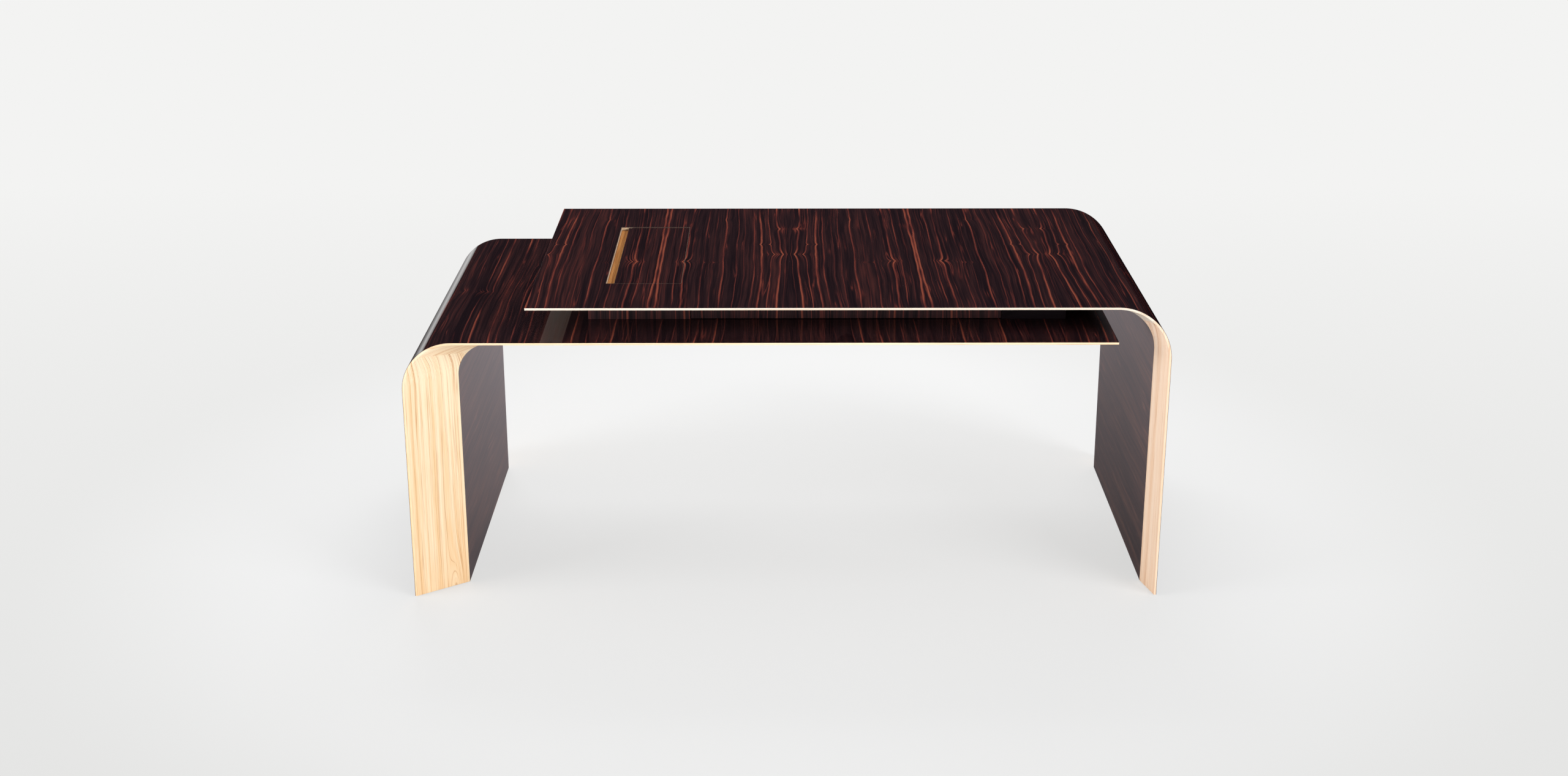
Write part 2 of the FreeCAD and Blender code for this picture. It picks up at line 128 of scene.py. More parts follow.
class Ramp(NamedTuple):
    """Range of a value, and the range that it is carried over to."""

    low: float = 0.0
    high: float = 1.0
    start: float = 0.0
    end: float = 1.0


class Noise(NamedTuple):
    """Noise: size of its features in millimetres, layers of finer ones and their strength."""

    size: float
    detail: float
    roughness: float = 0.5

    @property
    def inputs(self) -> tuple[float, float, float]:
        """Scale, detail and roughness, as the node takes them after its vector."""
        return per_metre(self.size), self.detail, self.roughness


class Axis(Enum):
    """Direction of the frame along which a board's fibres run: two ways across, one along."""

    X = (1, 2, 0)
    Y = (0, 2, 1)
    Z = (0, 1, 2)


class Lay(Enum):
    """How a sheet of veneer lies on a piece: its coordinates, and its ways across and along.

    An unrolled sheet follows the piece's own map, round its bend.
    """

    UNROLLED = ("UV", 0, 1)
    FLAT = ("Object", 0, 1)
    UPRIGHT = ("Object", 0, 2)


@dataclass(frozen=True)
class Finish:
    """Finish of a surface, which makes its material once."""

    name: str

    def material(self) -> Material:
        """Gives the finish's material, and makes it at the first call.

        Returns:
            The material.
        """
        found = bpy.data.materials.get(self.name)
        if found is None:
            found = bpy.data.materials.new(self.name)
            found.use_nodes = True
            found.node_tree.nodes.clear()
            node = partial(add, found.node_tree)
            node("OutputMaterial", node("BsdfPrincipled", **self.surface(node)))
        return found

    def surface(self, node: Adder) -> Inputs:
        """Draws the surface and gives the shader's inputs."""
        raise NotImplementedError


class Knot(NamedTuple):
    """Knot in a leaf, or a trunk's heart near the saw, which pulls lines aside, in metres."""

    across: float
    along: float
    pull: float
    width: float
    height: float


class Vein(NamedTuple):
    """Bold stripe of a leaf of veneer: its place and half width in metres, and its strength."""

    across: float
    half: float
    strength: float


@dataclass(frozen=True)
class Leaf:
    """Leaf of veneer that is laid again and again like an open book, with its figure.

    Places across are measured from the joint about which two leaves open, places along from the
    desk's middle.
    """

    joint: float
    width: float
    seed: float
    veins: tuple[Vein, ...]
    knots: tuple[Knot, ...] = ()


UPPER_LEAF = Leaf(
    -0.313, 0.322, 3.37,
    tuple(starmap(Vein, (
        (0.011, 0.0042, 1.00), (0.029, 0.0017, 0.40), (0.049, 0.0024, 0.72),
        (0.070, 0.0037, 0.95), (0.082, 0.0020, 0.70), (0.112, 0.0027, 0.72),
        (0.136, 0.0017, 0.45), (0.161, 0.0032, 0.75), (0.192, 0.0019, 0.50),
        (0.209, 0.0016, 0.40), (0.233, 0.0027, 0.75), (0.252, 0.0039, 0.95),
        (0.274, 0.0020, 0.80), (0.297, 0.0037, 1.00), (0.311, 0.0013, 0.45),
    ))),
    tuple(starmap(Knot, (
        (0.066, -0.064, 0.011, 0.024, 0.018), (0.128, -0.076, -0.005, 0.022, 0.006),
        (0.296, -0.004, -0.011, 0.026, 0.024), (0.262, 0.088, 0.006, 0.018, 0.007),
        (0.300, 0.238, -0.007, 0.020, 0.014), (0.166, 0.330, 0.007, 0.016, 0.030),
    ))),
)
LOWER_LEAF = Leaf(
    -0.455, 0.460, 7.31,
    tuple(starmap(Vein, (
        (0.012, 0.0027, 0.60), (0.046, 0.0039, 0.90), (0.071, 0.0017, 0.45),
        (0.093, 0.0022, 0.60), (0.121, 0.0027, 0.65), (0.154, 0.0030, 0.80),
        (0.187, 0.0027, 0.65), (0.221, 0.0022, 0.55), (0.239, 0.0037, 0.95),
        (0.283, 0.0037, 0.85), (0.302, 0.0022, 0.65), (0.336, 0.0020, 0.50),
        (0.362, 0.0022, 0.60), (0.390, 0.0030, 0.60), (0.431, 0.0020, 0.50),
    ))),
    tuple(starmap(Knot, (
        (0.300, -0.047, 0.013, 0.022, 0.018), (0.364, -0.026, 0.011, 0.014, 0.014),
        (0.388, -0.085, -0.011, 0.014, 0.016), (0.180, 0.190, 0.007, 0.024, 0.020),
    ))),
)
LOWER_LINING_LEAF = Leaf(
    0.060, 0.270, 12.7, (Vein(0.060, 0.0026, 0.40), Vein(0.170, 0.0030, 0.50))
)
UPPER_LINING_LEAF = Leaf(
    -0.020, 0.300, 15.4, (Vein(0.090, 0.0030, 0.45), Vein(0.220, 0.0026, 0.40))
)

# Leaves are slices of one log, so each lies a step on in the noise and differs from the last
SLICE_STEP = 0.03
# Stretch of a noise and the metres by which it moves the stripes: a slow sway over half the depth,
# a wave over a hand's width and a ripple of a few centimetres
WAVE = Noise(1000, 1.0)
STRIPE_WAVES = (
    ((2.6, 1.8, 1.0), 0.032), ((7.0, 4.0, 1.0), 0.011), ((26.0, 11.0, 1.0), 0.0035),
)
# Stripes are fifty times as long as they are wide
STRIPE_LENGTH = 0.02
# Bands that make up the ground, and their shares. Pore lines are finer than a pixel, so the
# finest are drawn about 3 mm apart
GROUND_BANDS = (
    (Noise(48, 1.0, 0.6), 0.30), (Noise(9, 2.0, 0.6), 0.42), (Noise(3.0, 1.0, 0.6), 0.28),
)
GROUND_PLACES = (0.40, 0.46, 0.51, 0.57, 0.65)
# Open pores scatter a little more than the dense stripes
PORE_ROUGHNESS = Ramp(start=0.52, end=0.40)
VEIN_PLACES = (0.0, 0.35, 0.70, 1.0)
VEIN_COVER = Ramp(high=0.55)
# One side of a bold stripe is sharp, the other fades
VEIN_LEAN = 0.4
# Hair lines lie where a noise crosses its middle
HAIR = Noise(13, 1.5)
HAIR_MIDDLE = 0.52
HAIR_EDGE = Ramp(high=0.036, start=0.55, end=0.0)
# Stretch and strength of the patches in which the bold stripes and the hair lines come and go
PATCH = Noise(1000, 2.0)
VEIN_PATCHES = (
    ((18.0, 190.0, 1.0), Ramp(0.38, 0.62, 0.32, 1.10)), ((30.0, 260.0, 2.0), Ramp(0.38, 0.62)),
)
# Near a knot the stripes show more often, and brighter
KNOT_SHOWS = 0.16
KNOT_FLARE = 0.5


@dataclass(frozen=True)
class EbonyVeneer(Finish):
    """Striped ebony veneer, sliced into leaves that are laid like open books, and lacquered.

    The eye sees near-black brown with fine red-brown lines and some bright orange ones, which run
    from front to back. Neighbouring leaves mirror each other, so each knot shows as a pair. The
    lacquer alone mirrors the room, because it has soaked into the wood below it.
    """

    lay: Lay
    leaf: Leaf
    tones: tuple[str, ...]
    vein_tones: tuple[str, ...]
    lacquer: float
    lacquer_roughness: float

    def stripes(self, node: Adder) -> tuple[Node, Node, Source]:
        """Lays the leaves and lets slow waves and knots bend their stripes.

        Args:
            node: Adds a node to the tree.

        Returns:
            Place across the bent stripes, point to read their noise at, nearness of a knot.
        """
        leaf = self.leaf
        coordinates, *ways = self.lay.value
        split = node("SeparateXYZ", node("TexCoord").outputs[coordinates])
        across, along = (split.outputs[way] for way in ways)
        start = node("Math SUBTRACT", across, leaf.joint)
        place = bent = node("Math PINGPONG", start, leaf.width)
        number = node("Math FLOOR", node("Math DIVIDE", start, leaf.width))
        depth = node("Math MULTIPLY_ADD", number, SLICE_STEP, leaf.seed)
        spot = node("CombineXYZ", place, along, depth)
        for stretch, reach in STRIPE_WAVES:
            wave = node("TexNoise", node("VectorMath MULTIPLY", spot, stretch), *WAVE.inputs)
            moved = Ramp(start=-reach / 2, end=reach / 2)
            bent = node("Math ADD", bent, node("MapRange", wave, *moved, clamp=False))
        near: Source = 0.0
        for knot in leaf.knots:
            aside = node("Math SUBTRACT", place, knot.across)
            aside = node("Math POWER", node("Math DIVIDE", aside, knot.width), 2.0)
            away = node("Math ABSOLUTE", node("Math SUBTRACT", along, knot.along))
            away = node("Math MULTIPLY_ADD", away, 1 / knot.height, aside)
            grip = node("Math EXPONENT", node("Math MULTIPLY", away, -1.0))
            bent = node("Math MULTIPLY_ADD", grip, knot.pull, bent)
            near = node("Math ADD", grip, near)
        length = node("Math MULTIPLY", along, STRIPE_LENGTH)
        return bent, node("CombineXYZ", bent, length, depth), near

    def bold_veins(self, node: Adder, bent: Node, point: Node, near: Source) -> Node:
        """Draws the bright stripes and hair lines, which come and go along their length.

        Args:
            node: Adds a node to the tree.
            bent: Place across the bent stripes.
            point: Point at which the stripes' noise is read.
            near: How near a knot is.

        Returns:
            How bright a stripe is, from 0 beside it to about 1.
        """
        bold: Source = 0.0
        for vein in self.leaf.veins:
            aside = node("Math SUBTRACT", bent, vein.across)
            away = node("Math MULTIPLY_ADD", aside, VEIN_LEAN, node("Math ABSOLUTE", aside))
            edge = Ramp(high=vein.half, start=vein.strength, end=0.0)
            line = node("MapRange", away, *edge, interpolation_type="SMOOTHSTEP")
            bold = node("Math MAXIMUM", bold, line)
        hair = node("TexNoise", point, *HAIR.inputs)
        hair = node("Math ABSOLUTE", node("Math SUBTRACT", hair, HAIR_MIDDLE))
        hair = node("MapRange", hair, *HAIR_EDGE)
        both: Source = 0.0
        for lines, (stretch, shown) in zip((bold, hair), VEIN_PATCHES):
            patch = node("VectorMath MULTIPLY", point, stretch)
            patch = node("TexNoise", patch, *PATCH.inputs)
            patch = node("Math MULTIPLY_ADD", near, KNOT_SHOWS, patch)
            lines = node("Math MULTIPLY", lines, node("MapRange", patch, *shown))
            both = node("Math MAXIMUM", both, lines)
        flare = node("Math MULTIPLY_ADD", near, KNOT_FLARE, 1.0)
        return node("Math MULTIPLY", both, flare)

    def surface(self, node: Adder) -> Inputs:
        """Colours the ground and the bright stripes, and lacquers them.

        Args:
            node: Adds a node to the tree.

        Returns:
            The shader's inputs.
        """
        bent, point, near = self.stripes(node)
        tone: Source = 0.0
        for noise, share in GROUND_BANDS:
            band = node("TexNoise", point, *noise.inputs)
            tone = node("Math MULTIPLY_ADD", band, share, tone)
        ground = node("ValToRGB", tone, stops=zip(GROUND_PLACES, self.tones))
        bright = self.bold_veins(node, bent, point, near)
        vein = node("ValToRGB", bright, stops=zip(VEIN_PLACES, self.vein_tones))
        cover = node("MapRange", bright, *VEIN_COVER, interpolation_type="SMOOTHSTEP")
        return {
            "Base Color": node("Mix", cover, ground, vein, data_type="RGBA"),
            "Roughness": node("MapRange", band, *PORE_ROUGHNESS),
            "Specular IOR Level": 0.0,
            "IOR": LACQUER_IOR,
            "Coat Weight": self.lacquer,
            "Coat Roughness": self.lacquer_roughness,
            "Coat IOR": LACQUER_IOR,
        }


# Sway of the rings: its size, and metres for each millimetre of their width
SWAY = Noise(55, 1.5)
RING_SWAY = 0.0010
# How slowly the sway, the rings and the fibres change along the trunk
SWAY_LENGTH = 0.12
RING_LENGTH = 0.006
FIBRE_STRETCH = (1.0, 1.0, 0.16)
# Real fibres are finer than a pixel, so they are drawn about 1.2 mm wide
FIBRE = Noise(1.2, 2.0)
FIBRE_SHARE = 0.34
FIBRE_ROUGHNESS = 0.08
# A soft band is about two rings wide
BAND_RINGS = 2.2
BAND_SHARE = 0.66
# A board is never one colour: it has clouds, and may drift from its middle tone at this height
CLOUD = Noise(380, 1.0)
CLOUD_SPAN = (0.3, 0.7)
CLOUD_REACH = 0.05
DRIFT_HEIGHT = 0.35
EARLY_PLACE, LATE_PLACE = 0.40, 0.62
# A year ends where a noise crosses its middle, in a strong line or one that hardly shows
YEAR_MIDDLE = 0.5
YEAR_LINE = Ramp(high=0.034, start=1.5, end=0.0)
YEAR_STRENGTH = Ramp(0.36, 0.62, 0.25, 1.3)


@dataclass(frozen=True)
class Timber(Finish):
    """Solid wood, sawn so that its growth rings show as lines and arcs along the fibres.

    The eye sees soft bands, a darker line at the end of each year and fine fibre streaks.
    """

    fibres: Axis
    early: str
    late: str
    line: str
    ring: float
    roughness: float
    lacquer: float
    seed: float
    pith: tuple[float, float] = (2.0, 1.0)
    heart: Knot | None = None
    sheen: float = 0.5
    drift: float = 0.0

    def surface(self, node: Adder) -> Inputs:
        """Draws growth rings about the pith, year lines and fibres, and finishes the surface.

        Args:
            node: Adds a node to the tree.

        Returns:
            The shader's inputs.
        """
        place = node("TexCoord").outputs["Object"]
        x, y, z = node("SeparateXYZ", place).outputs
        # Front and back boards are cut from one plank, so they mirror each other
        parts = (x, node("Math ABSOLUTE", y), z)
        first, second, along = (parts[way] for way in self.fibres.value)
        length = node("Math MULTIPLY_ADD", along, SWAY_LENGTH, self.seed)
        trunk = node("CombineXYZ", first, second, length)
        sway = node("TexNoise", trunk, *SWAY.inputs)
        reach = self.ring * RING_SWAY
        sway = node("MapRange", sway, *Ramp(start=-reach, end=reach), clamp=False)
        aside = node("Math SUBTRACT", first, self.pith[0])
        deep = node("Math SUBTRACT", second, self.pith[1])
        radius = node("VectorMath LENGTH", node("CombineXYZ", aside, deep))
        radius = node("Math ADD", radius, sway)
        if self.heart:
            across, height, pull, *size = self.heart
            near = node("CombineXYZ", first, along)
            near = node("VectorMath SUBTRACT", near, (across, height, 0.0))
            near = node("VectorMath MULTIPLY", near, (1 / size[0], 1 / size[1], 0.0))
            near = node("VectorMath DOT_PRODUCT", near, near)
            near = node("Math EXPONENT", node("Math MULTIPLY", near, -1.0))
            radius = node("Math MULTIPLY_ADD", near, pull, radius)
        length = node("Math MULTIPLY_ADD", along, RING_LENGTH, self.seed)
        rings = node("CombineXYZ", radius, length, self.seed)
        band = node("TexNoise", rings, *Noise(self.ring * BAND_RINGS, 2.0, 0.6).inputs)
        fine = node("VectorMath MULTIPLY", trunk, FIBRE_STRETCH)
        fibre = node("TexNoise", fine, *FIBRE.inputs)
        moved = node("VectorMath ADD", place, (self.seed,) * 3)
        cloud = node("TexNoise", moved, *CLOUD.inputs)
        middle = -DRIFT_HEIGHT * self.drift
        clouds = Ramp(*CLOUD_SPAN, middle - CLOUD_REACH, middle + CLOUD_REACH)
        tone = node("MapRange", cloud, *clouds)
        for part, share in ((along, self.drift), (band, BAND_SHARE), (fibre, FIBRE_SHARE)):
            tone = node("Math MULTIPLY_ADD", part, share, tone)
        stops = ((EARLY_PLACE, self.early), (LATE_PLACE, self.late))
        ground = node("ValToRGB", tone, stops=stops)
        year = node("TexNoise", rings, *Noise(self.ring, 1.0).inputs)
        year = node("Math ABSOLUTE", node("Math SUBTRACT", year, YEAR_MIDDLE))
        year = node("MapRange", year, *YEAR_LINE)
        for strength in (node("MapRange", band, *YEAR_STRENGTH), fibre):
            year = node("Math MULTIPLY", year, strength)
        low, high = self.roughness - FIBRE_ROUGHNESS, self.roughness + FIBRE_ROUGHNESS
        return {
            "Base Color": node("Mix", year, ground, linear(self.line), data_type="RGBA"),
            "Roughness": node("MapRange", fibre, *Ramp(start=low, end=high)),
            "Normal": node("Bump", Strength=0.12, Distance=0.0002, Height=fibre),
            "Specular IOR Level": self.sheen,
            "IOR": LACQUER_IOR,
            "Coat Weight": self.lacquer,
            "Coat Roughness": 0.25,
        }


@dataclass(frozen=True)
class TrackWithPaintedShade(Timber):
    """Solid track, bare in the finger slot and painted near-black where the slats run, as painted
    shade in the gap beside them.

    The eye sees pale wood at the ends of the slot, and no light line in the gap beside the slats.
    """

    gap_shade: str = "#2a2020"
    # The painted shade starts over about 4 mm
    gap_shade_from: Ramp = Ramp(-0.406, -0.402)

    def surface(self, node: Adder) -> Inputs:
        """Adds the painted shade over the wood.

        Args:
            node: Adds a node to the tree.

        Returns:
            The shader's inputs.
        """
        inputs = super().surface(node)
        x, _, _ = node("SeparateXYZ", node("TexCoord").outputs["Object"]).outputs
        mix = (node("MapRange", x, *self.gap_shade_from), inputs["Base Color"], linear(self.gap_shade))
        return {**inputs, "Base Color": node("Mix", *mix, data_type="RGBA")}


@dataclass(frozen=True)
class Felt(Finish):
    """Pressed wool felt: matt, with loose fibres that catch the light unevenly."""

    dark: str
    light: str
    # Wool fibres are finer than a pixel, so the tufts are drawn 1.5 mm wide
    tufts: Noise = Noise(1.5, 4.0, 0.7)
    places: tuple[float, float] = (0.36, 0.66)

    def surface(self, node: Adder) -> Inputs:
        """Clouds the wool and roughens its surface.

        Args:
            node: Adds a node to the tree.

        Returns:
            The shader's inputs.
        """
        place = node("TexCoord").outputs["Object"]
        tuft = node("TexNoise", place, *self.tufts.inputs)
        stops = zip(self.places, (self.dark, self.light))
        return {
            "Base Color": node("ValToRGB", tuft, stops=stops),
            "Normal": node("Bump", Strength=0.4, Distance=0.0005, Height=tuft),
            "Roughness": 0.95,
            "Sheen Weight": 0.35,
        }


@dataclass(frozen=True)
class Canvas(Finish):
    """Plain-woven cotton canvas, glued under the slats: matt, with crossing threads."""

    dark: str
    light: str
    thread: float
    places: tuple[float, float] = (0.1, 0.8)

    def surface(self, node: Adder) -> Inputs:
        """Weaves warp and weft from two waves.

        Args:
            node: Adds a node to the tree.

        Returns:
            The shader's inputs.
        """
        turns = math.pi * per_metre(self.thread)
        x, y, _ = node("SeparateXYZ", node("TexCoord").outputs["Object"]).outputs
        phases = (node("Math MULTIPLY", way, turns) for way in (x, y))
        weave = node("Math MULTIPLY", *(node("Math SINE", phase) for phase in phases))
        stops = zip(self.places, (self.dark, self.light))
        return {
            "Base Color": node("ValToRGB", weave, stops=stops),
            "Normal": node("Bump", Strength=0.6, Distance=0.0004, Height=weave),
            "Roughness": 0.9,
        }


EBONY = ("#1d1218", "#24161b", "#2c1b1f", "#392123", "#4d2928")
EBONY_VEINS = ("#371d1f", "#592b29", "#7d3c33", "#9d5440")
# Drawer front: satin tones like the linings, set paler than the polished tops as painted light for
# the shade under the upper top
EBONY_FRONT_PAINTED_LIGHT = ("#2c2428", "#362a2c", "#412f32", "#4e3434", "#5d3b39")
EBONY_FRONT_VEINS_PAINTED_LIGHT = ("#462e30", "#633a38", "#80463e", "#985645")
EBONY_INSIDE = ("#312728", "#3b2d2c", "#453330", "#533b35", "#634539")
EBONY_INSIDE_VEINS = ("#4b3733", "#63463e", "#7d5446", "#926450")

# Polished until it is as smooth as glass: the wood looks deep and wet, and mirrors what is near
GLOSS_LOWER = EbonyVeneer(
    "Striped ebony veneer, polished lacquer, lower top",
    Lay.UNROLLED, LOWER_LEAF, EBONY, EBONY_VEINS, 1.0, 0.02,
)
GLOSS_UPPER = replace(
    GLOSS_LOWER, name="Striped ebony veneer, polished lacquer, upper top", leaf=UPPER_LEAF
)
GLOSS_SLATS = replace(
    GLOSS_UPPER, name="Striped ebony veneer, polished lacquer, slats", lay=Lay.FLAT
)
# Rubbed down to a satin: the same wood looks greyer and flatter, with a soft glow
SATIN_LOWER = EbonyVeneer(
    "Striped ebony veneer, satin lacquer, lower lining",
    Lay.UNROLLED, LOWER_LINING_LEAF, EBONY_INSIDE, EBONY_INSIDE_VEINS, 1.0, 0.30,
)
SATIN_UPPER = replace(
    SATIN_LOWER, name="Striped ebony veneer, satin lacquer, upper lining", leaf=UPPER_LINING_LEAF
)
# Painted light: the drawer front and the box front beside it take the paler tones above, over a
# real satin lacquer, to stand in for light under the upper top
SATIN_FRONT_PAINTED_LIGHT = EbonyVeneer(
    "Striped ebony veneer, satin lacquer, drawer front",
    Lay.UPRIGHT, UPPER_LEAF, EBONY_FRONT_PAINTED_LIGHT, EBONY_FRONT_VEINS_PAINTED_LIGHT, 0.7, 0.2,
)
# Near-black, so that hardly any grain shows
NEAR_BLACK_BOARD = Timber(
    "Near-black board, satin lacquer",
    Axis.X, "#1b1619", "#231b1f", "#130f11", 9, 0.45, 0.1, 3.9, sheen=0.15,
)
# Pale and lively: straight year lines, arched where the saw came near the heart
ASH_LEFT = Timber(
    "Solid ash, satin lacquer, upright, left leg",
    Axis.Z, "#fee9c8", "#f6cf9e", "#cb8f5a", 4.5, 0.42, 0.15, 2.3,
    heart=Knot(-0.806, -0.02, 0.022, 0.013, 0.09), drift=-0.28,
)
ASH_RIGHT = Timber(
    "Solid ash, satin lacquer, upright, right leg",
    Axis.Z, "#fbe0c7", "#f4cfad", "#d39d74", 4, 0.42, 0.15, 6.2, drift=-0.1,
)
ASH_LOWER = Timber(
    "Solid ash, satin lacquer, along the lower top",
    Axis.X, "#fbe7c8", "#f6d8b0", "#e0b283", 5, 0.42, 0.15, 5.1, (0.30, 0.52),
)
ASH_UPPER = Timber(
    "Solid ash, satin lacquer, along the upper top",
    Axis.X, "#f1e6d7", "#eadac4", "#d4b797", 5, 0.42, 0.15, 5.9, (0.30, 0.52),
)
ASH_CROSS = Timber(
    "Solid ash, satin lacquer, across the top",
    Axis.Y, "#f1e6d6", "#ead9c1", "#d2b392", 7, 0.42, 0.15, 8.6, (0.0, 0.5),
)
TRACK = TrackWithPaintedShade(
    "Solid ash, painted shade on the running face",
    Axis.X, "#fbecd6", "#f2dab8", "#d8ad82", 7, 0.45, 0.0, 7.7,
)
# Grey-brown right through, so the thin edging shows as a quiet line
GREY_BROWN_EDGING = Timber(
    "Grey-brown ash edging, waxed",
    Axis.Y, "#6a5950", "#62524a", "#564841", 6, 0.5, 0.0, 2.9, sheen=0.1,
)
# Oil brings out a warm caramel and leaves no gloss
CARAMEL = Timber(
    "Pear wood, oiled", Axis.Y, "#cf9456", "#bb7d43", "#9a602f", 5, 0.5, 0.0, 1.7, sheen=0.1
)
# Plain, even woods for what is seldom seen: beech with a dull wax, birch as it was sanded
BEECH = Timber("Beech, waxed", Axis.Y, "#dcb78c", "#c99d6e", "#a87a50", 4, 0.5, 0.1, 4.4)
BEECH_CROSS = replace(BEECH, name="Beech, waxed, across", fibres=Axis.X, seed=6.4)
BIRCH = Timber("Birch plywood, raw", Axis.Y, "#dcc29a", "#c9a878", "#a98658", 8, 0.62, 0.0, 9.2)
BIRCH_LONG = replace(BIRCH, name="Birch plywood, raw, long", fibres=Axis.X, seed=3.2)
TRAY_FELT = Felt("Pressed wool felt, tray", "#191516", "#2d2728")
PAD_FELT = Felt("Pressed wool felt, pads", "#171414", "#2a2625")
CANVAS = Canvas("Woven cotton canvas", "#5a5040", "#8b8067", 1.6)

# Sanding breaks each edge that is sharper than this, in degrees, into small facets
SANDED_ANGLE = 28.0
SANDED_FACETS = 2
WELD_REACH = 1e-6


class Corner(NamedTuple):
    """Corner of a face: its place, and its place on the unrolled sheet."""

    x: float
    y: float
    z: float
    run: float = 0.0
    across: float = 0.0


@dataclass
class Draft:
    """Faces of one piece, gathered before its mesh is made."""

    corners: list[tuple[float, float, float]] = field(default_factory=list)
    known: dict[tuple[int, ...], int] = field(default_factory=dict)
    faces: list[list[int]] = field(default_factory=list)
    maps: list[tuple[float, float]] = field(default_factory=list)
    slots: list[int] = field(default_factory=list)
    # Corners closer than a ten-thousandth of a millimetre are one
    fineness: float = 1e7
    smooth_angle: float = 22.0

    def vertex(self, corner: Corner) -> int:
        """Finds or makes the vertex at a corner.

        Args:
            corner: The corner.

        Returns:
            The number of the vertex, shared by all faces that meet there.
        """
        key = tuple(round(part * self.fineness) for part in corner[:3])
        if key not in self.known:
            self.known[key] = len(self.corners)
            self.corners.append(tuple(corner[:3]))
        return self.known[key]

    def face(self, corners: Sequence[Corner], slot: int = 0) -> None:
        """Adds a face.

        Args:
            corners: Its corners in order.
            slot: Number of its finish.
        """
        self.faces.append([self.vertex(corner) for corner in corners])
        self.maps.extend((corner.run, corner.across) for corner in corners)
        self.slots.append(slot)

    def prism(self, front: Sequence[Corner], back: Sequence[Corner]) -> None:
        """Adds a closed prism.

        Args:
            front: Outline of its first face.
            back: Outline of its last face, in the same order.
        """
        self.face(front)
        self.face(back[::-1])
        for first in range(len(front)):
            second = (first + 1) % len(front)
            self.face([front[second], front[first], back[first], back[second]])

    def piece(self, name: str, finishes: Iterable[Finish], arris: float) -> Object:
        """Makes the mesh, with smooth bends and slightly rounded edges.

        Args:
            name: Name of the piece.
            finishes: Finishes in the order of the faces' slots.
            arris: Width of the rounding along sharp edges.

        Returns:
            The new object.
        """
        mesh = bpy.data.meshes.new(name)
        mesh.from_pydata(self.corners, [], self.faces)
        for loop, place in zip(mesh.uv_layers.new(name="grain").data, self.maps):
            loop.uv = place
        for finish in finishes:
            mesh.materials.append(finish.material())
        for polygon, slot in zip(mesh.polygons, self.slots):
            polygon.material_index = slot
            polygon.use_smooth = True
        shape = bmesh.new()
        shape.from_mesh(mesh)
        bmesh.ops.recalc_face_normals(shape, faces=shape.faces)
        shape.to_mesh(mesh)
        shape.free()
        mesh.set_sharp_from_angle(angle=math.radians(self.smooth_angle))
        piece = bpy.data.objects.new(name, mesh)
        bpy.context.scene.collection.objects.link(piece)
        soften(piece, arris)
        return piece


def soften(piece: Object, arris: float, weld: bool = False) -> None:
    """Rounds a piece's sharp edges as a sanding block does.

    Args:
        piece: Piece whose edges are broken.
        arris: Width of the rounding.
        weld: True for a CAD node, whose faces don't share their corners.
    """
    if weld:
        joined = piece.modifiers.new("Joined corners", "WELD")
        joined.merge_threshold = WELD_REACH
    rounded = piece.modifiers.new("Sanded edges", "BEVEL")
    rounded.width = arris
    rounded.segments = SANDED_FACETS
    rounded.limit_method = "ANGLE"
    rounded.angle_limit = math.radians(SANDED_ANGLE)


def dress(finish: Finish, *nodes: str, arris: float = 0.0) -> None:
    """Gives CAD nodes their finish.

    Args:
        finish: Finish of the nodes.
        nodes: Names of the nodes.
        arris: Width of the rounding along their edges, if any.
    """
    for name in nodes:
        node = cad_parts[name]
        if not node.material_slots:
            node.data.materials.append(finish.material())
        for slot in node.material_slots:
            slot.material = finish.material()
        if arris:
            soften(node, arris, weld=True)
        LOG.info("%s: %s", name, finish.name)


def stand_in(piece: Object, node: str, body: str) -> None:
    """Lets a new piece stand for its CAD node.

    Args:
        piece: The new piece.
        node: CAD node that it stands for.
        body: Body that it rides on.
    """
    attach(piece, body)
    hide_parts(node)
    LOG.info("%s stands for %s", piece.name, node)


@dataclass
class GluedSheet:
    """Sheet of cloth that is glued flat, with soft cut edges, in place of its CAD node."""

    name: str
    node: str
    body: str
    slot: str
    finish: Finish
    under: Sequence[str]
    # Share of its thickness by which the cut edge is rounded
    edge: float = 0.4

    def build(self) -> None:
        """Makes the sheet and says what it was cut to."""
        (left, front, low), (right, back, high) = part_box(self.node)
        outline = ((front, low), (back, low), (back, high), (front, high))
        draft = Draft()
        draft.prism(*([Corner(x, y, z) for y, z in outline] for x in (left, right)))
        piece = draft.piece(self.name, [self.finish], (high - low) * self.edge)
        stand_in(piece, self.node, self.body)


class Station(NamedTuple):
    """Point of a bent layer's outline, with its place along the unrolled layer."""

    x: float
    z: float
    run: float


